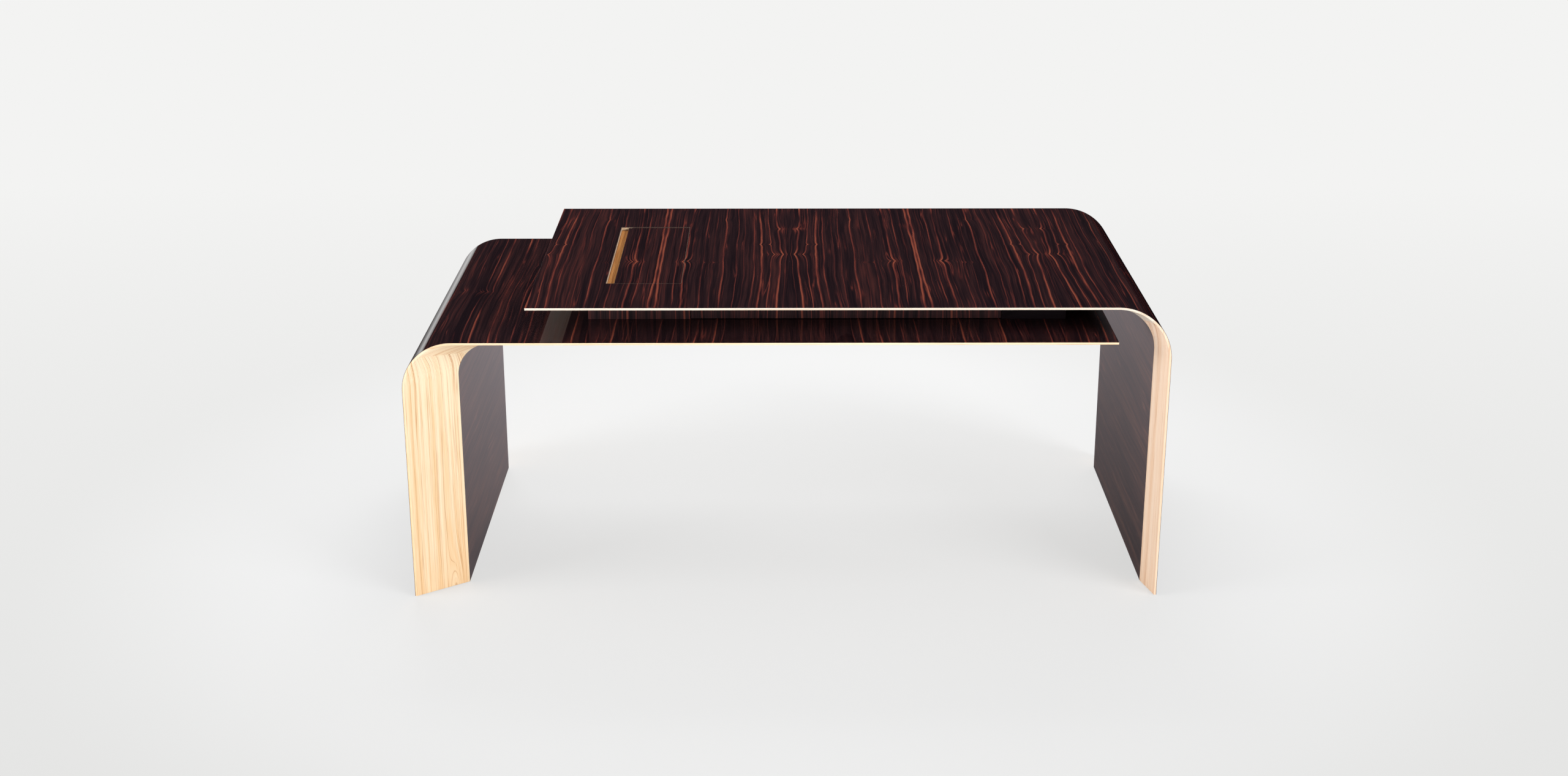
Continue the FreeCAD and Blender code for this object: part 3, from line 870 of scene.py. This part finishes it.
@dataclass(frozen=True)
class BentProfile:
    """Long section of a shell: up its leg, round the bend and along its top."""

    leg_x: float
    end_x: float
    top_z: float
    bend: float
    leg: float
    top: float
    inner_bend: float
    foot_z: float = 0.002
    bend_steps: int = 40

    @property
    def way(self) -> float:
        """Sign of X from the leg to the free end."""
        return math.copysign(1.0, self.end_x - self.leg_x)

    def outer(self, depth: float, breaks: Sequence[float] = ()) -> list[Station]:
        """Outline that lies a given depth under the outer face."""
        face_x = self.leg_x + self.way * depth
        return self.stations(face_x, self.top_z - depth, self.bend - depth, breaks)

    def inner(self, depth: float, breaks: Sequence[float] = ()) -> list[Station]:
        """Outline that lies a given depth under the inner face."""
        face_x = self.leg_x + self.way * (self.leg - depth)
        return self.stations(face_x, self.top_z - self.top + depth, self.inner_bend + depth, breaks)

    def stations(
        self, face_x: float, face_z: float, radius: float, breaks: Sequence[float]
    ) -> list[Station]:
        """Lays out the points of one outline.

        Args:
            face_x: Place of the leg's face.
            face_z: Height of the top's face.
            radius: Radius of the bend.
            breaks: Places along the top that get a point of their own.

        Returns:
            Points from the foot to the free end, the same number for each outline.
        """
        centre_x = face_x + self.way * radius
        centre_z = face_z - radius
        quarter = math.pi / 2
        foot = centre_x - self.way * (radius * quarter + centre_z - self.foot_z)
        points = [Station(face_x, self.foot_z, foot)]
        for step in range(self.bend_steps + 1):
            turn = quarter * step / self.bend_steps
            x = centre_x - self.way * radius * math.cos(turn)
            z = centre_z + radius * math.sin(turn)
            points.append(Station(x, z, centre_x - self.way * radius * (quarter - turn)))
        places = sorted((*breaks, self.end_x), key=lambda place: self.way * place)
        points.extend(Station(x, face_z, x) for x in places)
        return points


class Window(NamedTuple):
    """Rectangular opening in a top: its span along the desk and its reach to either side."""

    low: float
    high: float
    half: float


@dataclass
class BentShell:
    """Bent shell: polished skin outside, satin skin inside, bevelled pale lippings at its edges."""

    name: str
    profile: BentProfile
    gloss: Finish
    satin: Finish
    upright: Finish
    level: Finish
    window: Window | None = None
    depth: float = 0.900
    skin: float = 0.0006
    land: float = 0.0058
    side_bevel: float = 0.081
    end_bevel: float = 0.062
    lip: float = 0.001
    arris: float = 0.0004
    # Share of the bend after which the lipping's fibres turn along the top
    mitre: float = 0.53

    @property
    def bevel_x(self) -> float:
        """Place along the top where the bevel of the free end starts."""
        return self.profile.end_x - self.profile.way * self.end_bevel

    @property
    def root(self) -> float:
        """Reach from the middle to where the bevels of the sides start."""
        return self.depth / 2 - self.side_bevel

    def build(self) -> None:
        """Builds the skins and the lippings."""
        self.outer_skin()
        self.inner_skin()
        self.side_lipping("front", -1.0)
        self.side_lipping("back", 1.0)
        self.end_lipping()

    def sheet(
        self, near: Sequence[Station], far: Sequence[Station], half: float, hole: Window | None
    ) -> Draft:
        """Drafts a closed sheet between two outlines, with an opening if there is one.

        Args:
            near: Outline of the face that shows.
            far: Outline of the face that is glued down.
            half: Reach of the sheet to either side.
            hole: Opening whose cells are left out.

        Returns:
            The sheet's draft.
        """
        draft = Draft()
        rows = [-half, -hole.half, hole.half, half] if hole else [-half, half]

        def solid(column: int, row: int) -> bool:
            """Says whether a cell belongs to the sheet.

            Args:
                column: Number of the cell along the outline.
                row: Number of the cell from front to back.

            Returns:
                False outside the sheet and in its opening.
            """
            if not (0 <= column < len(near) - 1 and 0 <= row < len(rows) - 1):
                return False
            if hole is None or column <= self.profile.bend_steps:
                return True
            x = (near[column].x + near[column + 1].x) / 2
            y = (rows[row] + rows[row + 1]) / 2
            return not (hole.low < x < hole.high and abs(y) < hole.half)

        def corner(outline: Sequence[Station], column: int, row: int) -> Corner:
            """Gives a corner of a cell, with its place on the unrolled sheet."""
            point = outline[column]
            return Corner(point.x, rows[row], point.z, near[column].run, rows[row])

        for column in range(len(near) - 1):
            for row in range(len(rows) - 1):
                if not solid(column, row):
                    continue
                after, behind = column + 1, row + 1
                ring = ((column, row), (after, row), (after, behind), (column, behind))
                draft.face([corner(near, *place) for place in ring])
                draft.face([corner(far, *place) for place in reversed(ring)])
                beside = ((column, row - 1), (after, row), (column, behind), (column - 1, row))
                for side, neighbour in enumerate(beside):
                    if not solid(*neighbour):
                        start, end = ring[side], ring[(side + 1) % 4]
                        edge = ((near, end), (near, start), (far, start), (far, end))
                        draft.face([corner(outline, *place) for outline, place in edge])
        return draft

    def outer_skin(self) -> None:
        """Polished skin over the whole outside."""
        hole, breaks = self.window, ()
        if hole:
            hole = Window(hole.low - self.lip, hole.high + self.lip, hole.half + self.lip)
            breaks = hole[:2]
        near, far = (self.profile.outer(depth, breaks) for depth in (0.0, self.skin))
        draft = self.sheet(near, far, self.depth / 2, hole)
        piece = draft.piece(f"{self.name}_veneer", [self.gloss], self.arris)
        stand_in(piece, f"{self.name}_outer_skin", "desk")

    def inner_skin(self) -> None:
        """Satin skin inside, between the bevels."""
        inside = replace(self.profile, end_x=self.bevel_x)
        breaks = self.window[:2] if self.window else ()
        near, far = (inside.inner(depth, breaks) for depth in (0.0, self.skin))
        draft = self.sheet(near, far, self.root, self.window)
        piece = draft.piece(f"{self.name}_lining", [self.satin], self.arris / 2)
        stand_in(piece, f"{self.name}_inner_skin", "desk")

    def side_lipping(self, label: str, side: float) -> None:
        """Bevelled lipping along one side, mitred in the bend, where its fibres turn.

        Args:
            label: Side's name.
            side: Sign of Y on that side.
        """
        profile = self.profile
        edge, root = side * self.depth / 2, side * self.root
        breaks = [self.bevel_x]
        top = profile.outer(self.skin, breaks)
        land = profile.outer(self.land, breaks)
        under = profile.inner(0.0, breaks)
        # The bevel of the free end meets the side's bevel along a hip
        under[-1] = land[-1]
        sides = ((top, edge), (land, edge), (under, root), (top, root))
        lines = ([Corner(point.x, y, point.z) for point in line] for line, y in sides)
        sections = list(zip(*lines))
        draft = Draft()
        turn = 1 + round(self.mitre * profile.bend_steps)
        last = len(sections) - 2
        for number, (here, after) in enumerate(zip(sections, sections[1:])):
            slot = 0 if number < turn else 1
            for first in range(4):
                second = (first + 1) % 4
                # The bevel twists at the hip, so it is split there
                if number == last and first == 1:
                    draft.face([here[1], here[2], after[1]], slot)
                    draft.face([here[2], after[2], after[1]], slot)
                else:
                    draft.face([here[first], here[second], after[second], after[first]], slot)
        draft.face(sections[0][::-1], 0)
        draft.face(sections[-1], 1)
        piece = draft.piece(f"{self.name}_{label}_edge", [self.upright, self.level], self.arris)
        stand_in(piece, f"{self.name}_{label}_lipping", "desk")

    def end_lipping(self) -> None:
        """Bevelled lipping across the free end, between those along the sides."""
        end, high = self.profile.end_x, self.profile.top_z
        top, low = high - self.skin, high - self.profile.top
        outline = ((end, top), (end, high - self.land), (self.bevel_x, low), (self.bevel_x, top))
        draft = Draft()
        draft.prism(*([Corner(x, y, z) for x, z in outline] for y in (-self.root, self.root)))
        piece = draft.piece(f"{self.name}_end_edge", [ASH_CROSS], self.arris)
        stand_in(piece, f"{self.name}_end_lipping", "desk")


@dataclass
class LowerShell(BentShell):
    """Left leg and lower top."""

    name: str = "lower"
    profile: BentProfile = BentProfile(-0.900, 0.775, 0.650, 0.120, 0.121, 0.028, 0.080)
    gloss: Finish = GLOSS_LOWER
    satin: Finish = SATIN_LOWER
    upright: Finish = ASH_LEFT
    level: Finish = ASH_LOWER
    ribs: int = 4

    def build(self) -> None:
        """Builds the skins and lippings, and dresses what lies under them."""
        super().build()
        dress(BIRCH, "lower_outer_ply", "lower_inner_ply", "lower_leg_base")
        ribs = (f"lower_leg_rib_{number + 1}" for number in range(self.ribs))
        dress(BIRCH_LONG, "lower_top_core", *ribs)
        dress(PAD_FELT, "left_glides")


@dataclass
class UpperShell(BentShell):
    """Right leg and upper top, with the opening for the tambour."""

    name: str = "upper"
    profile: BentProfile = BentProfile(0.900, -0.605, 0.735, 0.130, 0.0265, 0.0265, 0.1035)
    gloss: Finish = GLOSS_UPPER
    satin: Finish = SATIN_UPPER
    upright: Finish = ASH_RIGHT
    level: Finish = ASH_UPPER
    window: Window | None = Window(-0.432, -0.252, 0.255)

    def build(self) -> None:
        """Builds the skins and lippings, and dresses what lies under them."""
        super().build()
        dress(BIRCH, "upper_bend_core")
        dress(BIRCH_LONG, "upper_top_core")
        dress(PAD_FELT, "right_glides")


@dataclass
class Tambour:
    """Slats on canvas behind a lowered lead rail, with the tracks that they run in."""

    slats: int = 9
    rail_arris: float = 0.0008

    def build(self) -> None:
        """Dresses the slats, the rail and their bed, and glues on the canvas."""
        slats = [f"tambour_slat_{number + 1}" for number in range(self.slats)]
        dress(GLOSS_SLATS, *slats)
        dress(CARAMEL, "tambour_lead_rail", arris=self.rail_arris)
        GluedSheet("tambour_backing", "tambour_canvas", "tambour", "canvas", CANVAS, slats).build()
        dress(TRACK, "front_track", "back_track")
        dress(ASH_CROSS, "opening_end_rail")
        dress(GREY_BROWN_EDGING, "opening_lipping")
        dress(BEECH, "pocket_end_rail")
        dress(BIRCH_LONG, "pocket_floor")


@dataclass
class BoxBetweenTops:
    """Shallow near-black box that carries the upper top, with the lined tray."""

    arris: float = 0.0008

    def build(self) -> None:
        """Dresses the boards and lines the tray."""
        boards = ("left_end", "left_divider", "right_divider", "right_end", "back", "front_right")
        dress(NEAR_BLACK_BOARD, *(f"box_{board}" for board in boards), arris=self.arris)
        dress(SATIN_FRONT_PAINTED_LIGHT, "box_front_left", arris=self.arris)
        under = ["lower_veneer"]
        GluedSheet("tray_lining", "tray_floor", "desk", "tray_felt", TRAY_FELT, under).build()


@dataclass
class Drawer:
    """Shallow drawer with a veneered front, and its runners."""

    arris: float = 0.0008

    def build(self) -> None:
        """Dresses the front, the beech box and the runners."""
        dress(SATIN_FRONT_PAINTED_LIGHT, "drawer_front", arris=self.arris)
        dress(BEECH, "drawer_left_side", "drawer_right_side", arris=self.arris)
        dress(BEECH, "drawer_left_runner", "drawer_right_runner")
        dress(BEECH_CROSS, "drawer_back", arris=self.arris)
        dress(BIRCH_LONG, "drawer_bottom")


class Lamp(NamedTuple):
    """Soft area lamp."""

    name: str
    place: tuple[float, float, float]
    aim: tuple[float, float, float]
    size: tuple[float, float]
    watts: float


@dataclass
class Studio:
    """Pale floor, soft lamps, a dark room above them and the camera. Ramps are in metres."""

    floor_half: float = 60.0
    floor_z: float = -0.0002
    floor_far: str = "#f3f3f2"
    floor_near: str = "#e2e2e1"
    floor_lit: str = "#f6f7f9"
    floor_bounce: str = "#f0f0f0"
    painted_reflection_tint: str = "#efe4ea"
    near_to_far: Ramp = Ramp(-2.4, 3.6)
    # Near the desk the lamps give a part of the paper's brightness, so that it keeps the shadow
    shade: Ramp = Ramp(1.0, 2.0, 0.30, 0.0)
    shade_gain: Ramp = Ramp(0.0, 0.30, 1.0, 1.06)
    # Painted shade and a painted highlight, seen only in the polish: the paper's glow is painted
    # dimmer under and beside the desk than far behind it, and far behind the left leg it paints the
    # highlight along the left bend
    painted_shade_under: Ramp = Ramp(-0.2, 1.9, 0.25, 0.95)
    painted_shade_side: Ramp = Ramp(-0.6, 0.9, 1.0, 0.52)
    painted_highlight_beside: Ramp = Ramp(1.9, 5.0, 0.08, 1.0)
    painted_highlight_left: Ramp = Ramp(-1.15, -0.95, 1.0, 0.0)
    # The painted glow ends at the right, so that the right leg's outer face mirrors painted shade,
    # and fades far away, so that the horizon leaves no hard line
    painted_shade_right: float = 0.90
    mirrored_far: Ramp = Ramp(6.0, 24.0, 1.0, 0.0)
    # The walls are dark, and the ceiling grows brighter towards its middle, overhead
    ceiling: Ramp = Ramp(0.55, 1.0, 0.012, 0.5)
    lamps: tuple[Lamp, ...] = (
        Lamp("Right softbox", (6.0, -5.0, 3.8), (0.0, 0.0, 0.45), (4.5, 3.2), 452.0),
        Lamp("Left softbox", (-6.0, -2.2, 1.8), (0.0, -0.2, 0.4), (3.0, 3.0), 312.0),
        Lamp("Low front fill", (0.3, -4.2, 0.5), (0.0, 0.0, 0.45), (3.0, 0.9), 48.0),
        Lamp("Back softbox", (-0.5, 2.9, 3.9), (-0.1, 0.1, 0.4), (3.0, 1.6), 112.0),
        Lamp("Back fill", (1.8, 5.4, 1.5), (0.0, 0.0, 0.4), (4.0, 2.0), 130.0),
    )
    camera_place: tuple[float, float, float] = (-0.0207, -4.7768, 2.1112)
    camera_pitch: float = 18.61
    camera_turn: float = -0.21
    camera_sensor: float = 36.0
    camera_lens: float = 45.1
    camera_shift: float = -0.03

    def build(self) -> None:
        """Sets the stage."""
        self.floor()
        self.room()
        for lamp in self.lamps:
            self.light(lamp)
        self.camera()

    def floor(self) -> None:
        """Wide sheet of pale paper that shows pale to the camera and keeps a soft shadow."""
        half = self.floor_half
        corners = ((-half, -half), (half, -half), (half, half), (-half, half))
        mesh = bpy.data.meshes.new("floor")
        mesh.from_pydata([(x, y, self.floor_z) for x, y in corners], [], [range(len(corners))])
        mesh.materials.append(self.paper())
        sheet = bpy.data.objects.new("floor", mesh)
        bpy.context.scene.collection.objects.link(sheet)

    def paper(self) -> Material:
        """Makes the floor's paper, whose glow in the polish carries painted shade and a painted
        highlight.

        Returns:
            Its material.
        """
        paper = bpy.data.materials.new("Matt backdrop paper")
        paper.use_nodes = True
        # Its glow is seen and mirrored but lights nothing, so no light is looked for on it
        paper.cycles.emission_sampling = "NONE"
        paper.node_tree.nodes.clear()
        node = partial(add, paper.node_tree)
        place = node("TexCoord").outputs["Object"]
        x, y, _ = node("SeparateXYZ", place).outputs
        away = node("VectorMath LENGTH", place)
        stops = ((0.0, self.floor_near), (1.0, self.floor_far))
        pale = node("ValToRGB", node("MapRange", y, *self.near_to_far), stops=stops)
        keeps = node("MapRange", away, *self.shade, interpolation_type="SMOOTHSTEP")
        even = node("Emission", pale, node("MapRange", keeps, *self.shade_gain))
        lit = node("BsdfDiffuse", linear(self.floor_lit))
        shown = node("MixShader", keeps, even, lit)
        # Painted reflection: the glow that only the polish sees is painted dimmer under the desk
        # and to its right (painted shade), pink-tinted there, and brighter far behind beside the
        # left leg (painted highlight on the left bend)
        under = node("MapRange", y, *self.painted_shade_under)
        under = node("Math MULTIPLY", under, node("MapRange", x, *self.painted_shade_side))
        beside = node("MapRange", y, *self.painted_highlight_beside)
        left = node("MapRange", x, *self.painted_highlight_left)
        depth = node("Mix", left, under, beside)
        painted_shade_cutoff = node("Math LESS_THAN", x, self.painted_shade_right)
        for share in (painted_shade_cutoff, node("MapRange", away, *self.mirrored_far)):
            depth = node("Math MULTIPLY", depth, share)
        painted_reflection_colour = node("Mix", left, linear(self.painted_reflection_tint), pale, data_type="RGBA")
        mirrored = node("Emission", painted_reflection_colour, depth)
        bounce = node("BsdfDiffuse", linear(self.floor_bounce))
        path = node("LightPath").outputs
        unseen = node("MixShader", path["Is Glossy Ray"], bounce, mirrored)
        surface = node("MixShader", path["Is Camera Ray"], unseen, shown)
        node("OutputMaterial", surface)
        return paper

    def room(self) -> None:
        """Pale behind the desk for the camera, and a dim room for all else."""
        world = bpy.data.worlds.new("Studio")
        world.use_nodes = True
        world.node_tree.nodes.clear()
        node = partial(add, world.node_tree)
        _, _, up = node("SeparateXYZ", node("TexCoord").outputs["Generated"]).outputs
        ceiling = node("MapRange", up, *self.ceiling, interpolation_type="SMOOTHSTEP")
        dim = node("Background", linear("#ffffff"), ceiling)
        pale = node("Background", linear(self.floor_far), 1.0)
        seen = node("LightPath").outputs["Is Camera Ray"]
        node("OutputWorld", node("MixShader", seen, dim, pale))
        bpy.context.scene.world = world

    def light(self, lamp: Lamp) -> None:
        """Hangs one lamp.

        Args:
            lamp: The lamp.
        """
        data = bpy.data.lights.new(lamp.name, "AREA")
        data.shape = "RECTANGLE"
        data.size, data.size_y = lamp.size
        data.energy = lamp.watts
        holder = bpy.data.objects.new(lamp.name, data)
        holder.location = lamp.place
        x, y, z = (to - at for at, to in zip(lamp.place, lamp.aim))
        holder.rotation_euler = (math.atan2(math.hypot(x, y), -z), 0.0, math.atan2(-x, y))
        # Its hard edge isn't mirrored in the polish
        holder.visible_glossy = False
        bpy.context.scene.collection.objects.link(holder)

    def camera(self) -> None:
        """Looks down at the desk from the front, as the photographer did."""
        data = bpy.data.cameras.new("camera")
        data.sensor_width = self.camera_sensor
        data.lens = self.camera_lens
        data.shift_y = self.camera_shift
        holder = bpy.data.objects.new("camera", data)
        holder.location = self.camera_place
        pitch, turn = math.radians(90 - self.camera_pitch), math.radians(self.camera_turn)
        holder.rotation_euler = (pitch, 0.0, turn)
        bpy.context.scene.collection.objects.link(holder)
        bpy.context.scene.camera = holder


def main() -> None:
    """Builds the desk's sub-assemblies in order, then the stage."""
    logging.basicConfig(level=logging.INFO, format="%(name)s: %(message)s")
    bpy.context.scene.view_settings.view_transform = "Standard"
    for part in (LowerShell(), UpperShell(), Tambour(), BoxBetweenTops(), Drawer(), Studio()):
        LOG.info("building %s", type(part).__name__)
        part.build()


if __name__ == "__main__":
    main()
